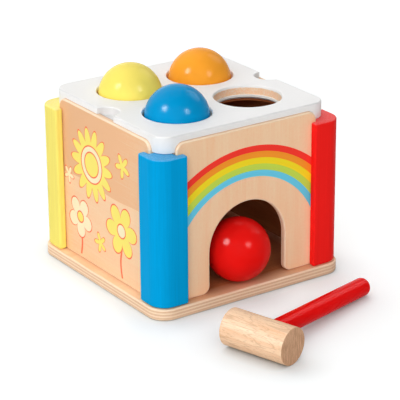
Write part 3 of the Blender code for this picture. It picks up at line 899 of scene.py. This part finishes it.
def notched_edge(lid, half, corner, plane, under, notch_floor, arch_radius):
    """Edge of the lid's quarter at +X +Y, from the notch's middle to x = 0.

    Gives the points, their outward normals, the height where the outer wall ends, and 1 where the
    corner reaches down to its post. The notch is an arc about (half, 0) that a small arc joins to
    the side. Under the lip runs a flat, which falls as a quarter circle near the corner, because
    the panel below has a rounded corner.
    """
    ring, small = lid.notch_radius, lid.notch_corner
    rise = math.sqrt((ring + small) ** 2 - small ** 2)
    meet = math.degrees(math.atan2(rise, -small))
    cross = math.degrees(math.acos((plane - half) / ring))
    bend = unit_arc(10, 0, 90)
    fall = corner - arch_radius * (1 - bend[:, 1])
    drop = under - arch_radius * (1 - bend[:, 0])

    def along_side(start, steps):
        """Distances along a side from the start to the corner, and where the wall ends at each."""
        run = np.concatenate([np.linspace(start, fall[0], steps), fall[1:]])
        return run, np.concatenate([np.full(steps, under), drop[1:]])

    lip, lip_end = along_side(rise, 14)
    back_side, back_end = along_side(0, 18)
    deep, shallow = unit_arc(8, 180, cross), unit_arc(3, cross, meet)
    joint = unit_arc(6, meet - 180, 0)
    quarter = unit_arc(16, 0, 90)
    notch = np.array([half, 0.0])
    parts = [
        (notch + ring * deep, -deep, notch_floor, 0),
        (notch + ring * shallow, -shallow, under, 0),
        (notch + (-small, rise) + small * joint[1:], joint[1:], under, 0),
        (np.stack([np.full(len(lip), half), lip], 1)[1:], np.array([[1.0, 0.0]]), lip_end[1:], 0),
        (corner + (half - corner) * quarter, quarter, 0.0, 1),
        (np.stack([back_side, np.full(len(back_side), half)], 1)[::-1], np.array([[0.0, 1.0]]),
         back_end[::-1], 0),
    ]
    points = np.concatenate([part[0] for part in parts])
    normals = np.concatenate([np.broadcast_to(part[1], part[0].shape) for part in parts])
    ends, stands = (np.concatenate([np.broadcast_to(part[number], len(part[0])) for part in parts])
                    for number in (2, 3))
    return points, normals, ends, stands


class BENCH_OT_lid(bpy.types.Operator):
    """Build the painted lid: rounded rim, notches, lips over the panels, holes and ring seats"""
    bl_idname = "bench.lid"
    bl_label = "Lid"

    def execute(self, context):
        box, lid, paint = context.scene.bench_box, context.scene.bench_lid, context.scene.bench_paint
        low, high = size_of("lid_board")
        panel_low, panel_high = size_of("panel_back")
        half, foot, top = high[0], low[2], high[2]
        corner, plane = panel_high[0] + FIT, panel_low[1] - FIT
        under = panel_high[2] + FIT
        points, normals, ends, stands = notched_edge(
            lid, half, corner, plane, under, top - lid.notch_depth, box.panel_corner + FIT)
        rounding = eased_edge(top - foot, lid.ease)[:EASED]
        rounding[:, 1] = top - rounding[:, 1]
        rim = carried(points, normals, rounding)
        sideways = points[:, :1] > points[:, 1:]
        behind = np.where(np.concatenate([sideways, ~sideways], 1), plane, points)
        stand, ends = stands[:, None], ends[:, None]
        ease = lid.foot_ease
        part = 0.3 * ease       # where the two bevels of the rounding below meet
        rows = [
            (points, np.where(stand, foot + ease, ends)),
            (np.where(stand, points - part * normals, behind), np.where(stand, foot + part, ends)),
            (np.where(stand, points - ease * normals, behind), np.full_like(ends, foot)),
        ]
        skirt = np.concatenate([rim, np.stack([np.concatenate(row, 1) for row in rows])])
        upper, lower = seamed(rim[0, :, :2]), seamed(skirt[-1, :, :2])
        lower[:SEAM] = upper[:SEAM]
        lower[1 - SEAM:] = upper[1 - SEAM:]
        # The knee keeps the underside's faces from crossing where a corner meets the rebates.
        shoulder = (corner + plane) / 2
        knee = np.minimum(lower, shoulder)
        knee[SEAM:1 - SEAM] = np.where(stand, shoulder, knee[SEAM:1 - SEAM])
        bend = unit_arc(8, 0, 90)
        mouth = lid.hole_radius + lid.mouth_width
        seat = size_of("ring_orange")[1][2] + FIT
        bore = [(mouth + HAIR, top)]
        bore += zip(mouth - lid.mouth_width * bend[:, 1], top - lid.mouth_depth * (1 - bend[:, 0]))
        bore += [(lid.hole_radius, bore[-1][1] - HAIR), (lid.hole_radius, seat),
                 (lid.seat_radius, seat), (lid.seat_radius, foot)]
        slots = np.zeros(len(bore) + 2, int)
        wall_end = len(bend) + 3
        slots[wall_end - 6:wall_end] = 1        # the lower half of the mouth, and the wall
        slots[wall_end:wall_end + 2] = 2        # the ring's seat
        middle = np.array([lid.hole_pitch, lid.hole_pitch]) / 2
        face = quarter_with_hole(upper, lower, middle, bore, (top, foot), slots, knee)
        border = top - 0.7 * lid.mouth_depth
        # The ring seats take the darkened inside tones: painted shade.
        materials = [lid_paint("lid_paint", paint.white, half, top, lid.notch_radius),
                     hole_wood("hole_wood", paint.wood_pale, paint.wood_dark, paint.white, border),
                     veneer("seat_wood", "X", paint.shaded_inner_pale, paint.shaded_inner_dark, gloss=0.0)]
        patches = four_quarters([grid_patch(skirt), face])
        add_piece("painted_lid", patches, materials, "lid", ["lid_board"])
        return {"FINISHED"}


class BENCH_OT_rings(bpy.types.Operator):
    """Build the rubber ring under each hole"""
    bl_idname = "bench.rings"
    bl_label = "Rings"

    def execute(self, context):
        lid = context.scene.bench_lid
        finish = ring_rubber("ring_rubber", context.scene.bench_paint.ring)
        for colour in ("blue", "red", "orange", "yellow"):
            low, high = size_of("ring_" + colour)
            middle, outer, foot, top = (low + high) / 2, (high[0] - low[0]) / 2, low[2], high[2]
            ball_low, ball_high = size_of("ball_" + colour)
            inner = (ball_high[2] - ball_low[2]) / 2 - lid.ring_grip
            soft, wall, crest = lid.ring_soft, lid.hole_radius - FIT, top + lid.ring_lip
            tight = soft / 3
            section = [(inner, top - soft, tight), ((inner + outer) / 2, foot, tight),
                       (outer, foot, tight), (outer, top, tight), (wall, top, tight),
                       (wall, crest, soft), (inner + lid.ring_grip, crest, soft)]
            profile, _ = rounded_outline(section, 4)
            points = turned(np.concatenate([profile, profile[:1]]), 96) + (middle[0], middle[1], 0)
            add_piece(colour + "_hole_ring", [grid_patch(points, closed=True)], [finish],
                      "lid", ["ring_" + colour])
        return {"FINISHED"}


class BENCH_OT_balls(bpy.types.Operator):
    """Build the four lacquered balls"""
    bl_idname = "bench.balls"
    bl_label = "Balls"

    def execute(self, context):
        paint = context.scene.bench_paint
        for colour, gloss in (("blue", 0.035), ("red", 0.026), ("orange", 0.026), ("yellow", 0.024)):
            low, high = size_of("ball_" + colour)
            radius = (high[2] - low[2]) / 2
            points = turned(radius * unit_arc(64, -90, 90), 128) + (low + high) / 2
            finish = gloss_lacquer(colour + "_lacquer", getattr(paint, "ball_" + colour), gloss)
            add_piece(colour + "_wooden_ball", [grid_patch(points, closed=True)], [finish],
                      colour + "_ball", ["ball_" + colour])
        return {"FINISHED"}


def chipped_head(mallet):
    """The head as rows of points along its axis Z, its rims worn unevenly.

    The rim's rounding is the set size times a sum of sines of the angle, squared so that a few
    chips stand out from a fine edge.
    """
    angle = np.linspace(0, math.tau, 160, endpoint=False)
    even_ring = 0 * angle
    radius, half = mallet.head_radius, mallet.head_length / 2
    rows = []
    for end, start in ((-1, 0.4), (1, 1.7)):
        waves = sum(np.sin(count * angle + start * count) for count in (3, 7, 11, 17, 26, 41))
        chip = mallet.head_edge * (0.45 + 0.55 * np.clip(waves / 3, -0.6, 1.2) ** 2)
        part = [(even_ring, half), (0.85 * radius + even_ring, half), (radius - chip - HAIR, half)]
        part += [(radius - chip * (1 - across), half - chip * (1 - along))
                 for across, along in unit_arc(4, 90, 0)]
        part.append((radius + even_ring, half - 2 * mallet.head_edge))
        part = [(reach, end * (height + even_ring)) for reach, height in part]
        rows += part if end < 0 else part[::-1]
    return np.stack([np.stack([reach * np.cos(angle), reach * np.sin(angle), height], 1)
                     for reach, height in rows])


class BENCH_OT_mallet(bpy.types.Operator):
    """Build the mallet's head and handle as they lie on the floor"""
    bl_idname = "bench.mallet"
    bl_label = "Mallet"

    def execute(self, context):
        mallet, paint = context.scene.bench_mallet, context.scene.bench_paint
        origin = sum(size_of("mallet_head")) / 2
        radius, reach, nose = mallet.handle_radius, mallet.handle_reach, mallet.handle_tip
        lean = math.asin((mallet.head_radius - radius) / (reach - nose))
        level = np.array([math.cos(mallet.turn), math.sin(mallet.turn), 0.0])
        along = math.cos(lean) * level - (0, 0, math.sin(lean))
        head_axis = np.array([-level[1], level[0], 0.0])
        upwards = np.cross(along, head_axis)
        head = chipped_head(mallet)
        slots = np.zeros(len(head) - 1, int)
        end_rows = 6        # rows of faces at each end that show end grain
        slots[:end_rows] = slots[-end_rows:] = 1
        patches = moved([grid_patch(head, slots, closed=True)], origin, upwards, along, head_axis)
        materials = [head_side("beech_side", paint.beech_pale, paint.beech_dark),
                     head_end("beech_end", paint.end_pale, paint.end_dark)]
        add_piece("beech_head", patches, materials, "mallet", ["mallet_head"])
        tip = (radius - nose, reach - nose) + nose * unit_arc(12, 0, 90)
        profile = np.concatenate([[(0, radius), (radius, radius), (radius, reach - nose - HAIR)], tip,
                                  [(radius - nose - HAIR, reach), (0, reach)]])
        shape = grid_patch(turned(profile, 96), closed=True)
        patches = moved([shape], origin, upwards, -head_axis, along)
        finish = gloss_lacquer("handle_lacquer", paint.handle_red, 0.03)
        add_piece("red_handle", patches, [finish], "mallet", ["mallet_handle"])
        return {"FINISHED"}


class BENCH_OT_screws(bpy.types.Operator):
    """Give the four countersunk screws their plating"""
    bl_idname = "bench.screws"
    bl_label = "Screws"

    def execute(self, context):
        steel = plated_steel("plated_steel", context.scene.bench_paint.steel)
        for name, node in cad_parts.items():
            if name.startswith("screw_"):
                node.material_slots[0].material = steel
        return {"FINISHED"}


# Stage


def seen_directly(tree):
    """1 for what is seen, also in a reflection or through glass, and 0 for light."""
    rays = add_node(tree, "ShaderNodeLightPath", {}).outputs
    seen = [Signal(tree, rays["Is %s Ray" % kind]) for kind in ("Camera", "Glossy", "Transmission")]
    return seen[0].most(*seen[1:])


def floor_paper(studio):
    """Matt paper with a plain white share added where it is seen, which fades near the object: painted shade.
    """
    material, tree = new_material("floor_paper")
    near = add_node(tree, "ShaderNodeAmbientOcclusion", {"Distance": studio.near}, samples=16)
    # Painted shade: the white share fades close to the object.
    contact_shade = Signal(tree, near.outputs["AO"]).step("POWER", 1.2)
    values = {"Base Color": studio.floor, "Roughness": 0.9, "Specular IOR Level": 0.0,
              "Emission Color": (1.0, 1.0, 1.0),
              "Emission Strength": seen_directly(tree) * (contact_shade * studio.glow)}
    fill_inputs(tree.nodes["Principled BSDF"], values)
    return material


def camera_axes(studio):
    """The camera's right, up and back: back from its azimuth and elevation, the others level, then rolled."""
    azimuth, elevation, roll = studio.azimuth, studio.elevation, studio.roll
    back = np.array([math.sin(azimuth) * math.cos(elevation), -math.cos(azimuth) * math.cos(elevation),
                     math.sin(elevation)])
    right = np.cross(-back, (0, 0, 1))
    right /= np.linalg.norm(right)
    up = np.cross(right, -back)
    rolled = right * math.cos(roll) + up * math.sin(roll)
    return rolled, up * math.cos(roll) - right * math.sin(roll), back


def set_place(thing, axes, place):
    """Set an object's axes right, up and back, and its place."""
    matrix = np.eye(4)
    matrix[:3, :3] = np.stack(axes, 1)
    matrix[:3, 3] = place
    thing.matrix_world = Matrix(matrix.tolist())


def facing(place):
    """Axes of a lamp at a place that shines towards the origin."""
    back = np.asarray(place, float) / np.linalg.norm(place)
    right = np.cross((0, 0, 1), back)
    right /= np.linalg.norm(right)
    return right, np.cross(back, right), back


class BENCH_OT_stage(bpy.types.Operator):
    """Set the floor, the sky, the lamps and the camera"""
    bl_idname = "bench.stage"
    bl_label = "Stage"

    def execute(self, context):
        scene, studio = context.scene, context.scene.bench_studio
        mesh = bpy.data.meshes.new("floor")
        reach, below = 8.0, 0.0002
        corners = np.array([[-1, -1, 0], [1, -1, 0], [1, 1, 0], [-1, 1, 0]]) * reach - (0, 0, below)
        mesh.from_pydata(corners.tolist(), [], [[0, 1, 2, 3]])
        mesh.materials.append(floor_paper(studio))
        floor = bpy.data.objects.new("floor", mesh)
        scene.collection.objects.link(floor)
        off_floor = bpy.data.collections.new("all_but_floor")
        off_floor.objects.link(floor)
        off_floor.collection_objects[0].light_linking.link_state = "EXCLUDE"

        world = bpy.data.worlds.new("studio_sky")
        world.use_nodes = True
        scene.world = world
        strength = seen_directly(world.node_tree).spread(0.0, 1.0, studio.sky, 1.0)
        sky = {"Color": (1.0, 1.0, 1.0), "Strength": strength}
        fill_inputs(world.node_tree.nodes["Background"], sky)

        # A matt lamp shows in no gloss, and a side lamp doesn't light the floor either.
        # A glint shows in gloss only, and nothing shades it.
        right, up, back = camera_axes(studio)
        lamps = (
            ("broad_key", studio.key, 60, (-0.52, -0.72, 0.46), "matt"),
            ("low_left", studio.left, 50, (-0.92, 0.12, 0.27), "side"),
            ("low_right", studio.right, 50, (0.78, -0.50, 0.30), "side"),
            ("broad_back", studio.back, 75, (0.10, 0.78, 0.58), "plain"),
            ("broad_top", studio.top, 66, (-0.10, 0.48, 0.87), "plain"),
            ("spot_left", studio.spot, 20, -0.65 * right + 0.40 * up + 0.62 * back, "glint"),
            ("soft_right", studio.soft, 36, (0.72, 0.10, 0.60), "glint"),
            ("spot_right", 0.42 * studio.spot, 18, 0.57 * right + 0.27 * up + 0.78 * back, "glint"),
        )
        for name, strength, angle, place, kind in lamps:
            light = bpy.data.lights.new(name, "SUN")
            light.energy = strength
            light.angle = math.radians(angle)
            light.use_shadow = kind != "glint"
            lamp = bpy.data.objects.new(name, light)
            set_place(lamp, facing(place), place)
            lamp.visible_diffuse = kind != "glint"
            lamp.visible_glossy = kind in ("plain", "glint")
            if kind == "side":
                lamp.light_linking.receiver_collection = off_floor
            scene.collection.objects.link(lamp)

        camera = bpy.data.cameras.new("camera")
        camera.lens = studio.lens
        camera.sensor_width = 36.0
        camera.clip_end = 50.0
        view = bpy.data.objects.new("camera", camera)
        set_place(view, (right, up, back), studio.place)
        scene.collection.objects.link(view)
        scene.camera = view
        scene.view_settings.view_transform = "Standard"
        return {"FINISHED"}


# Add-on


GROUPS = {
    "bench_box": BenchBox, "bench_lid": BenchLid, "bench_mallet": BenchMallet, "bench_paint": BenchPaint,
    "bench_print": BenchPrint, "bench_studio": BenchStudio,
}
STEPS = (BENCH_OT_base, BENCH_OT_panels, BENCH_OT_posts, BENCH_OT_lid, BENCH_OT_rings, BENCH_OT_balls,
         BENCH_OT_mallet, BENCH_OT_screws, BENCH_OT_stage)


class BENCH_PT_sidebar(bpy.types.Panel):
    """Steps and settings of the pounding bench"""
    bl_idname = "BENCH_PT_sidebar"
    bl_label = "Pounding Bench"
    bl_space_type = "VIEW_3D"
    bl_region_type = "UI"
    bl_category = "Bench"

    def draw(self, context):
        for step in STEPS:
            self.layout.operator(step.bl_idname)
        for group in GROUPS:
            settings = getattr(context.scene, group)
            box = self.layout.box()
            for name in settings.__annotations__:
                box.prop(settings, name)


def register():
    """Make the settings, steps and sidebar known to Blender."""
    for name, group in GROUPS.items():
        bpy.utils.register_class(group)
        setattr(bpy.types.Scene, name, bpy.props.PointerProperty(type=group))
    for item in (*STEPS, BENCH_PT_sidebar):
        bpy.utils.register_class(item)


def unregister():
    """Take them away again, last first."""
    for item in (BENCH_PT_sidebar, *reversed(STEPS)):
        bpy.utils.unregister_class(item)
    for name, group in reversed(GROUPS.items()):
        delattr(bpy.types.Scene, name)
        bpy.utils.unregister_class(group)


def main():
    """Build every piece and the stage."""
    register()
    for step in STEPS:
        getattr(bpy.ops.bench, step.bl_idname.split(".")[1])()
    bpy.context.view_layer.update()


if __name__ == "__main__":
    main()
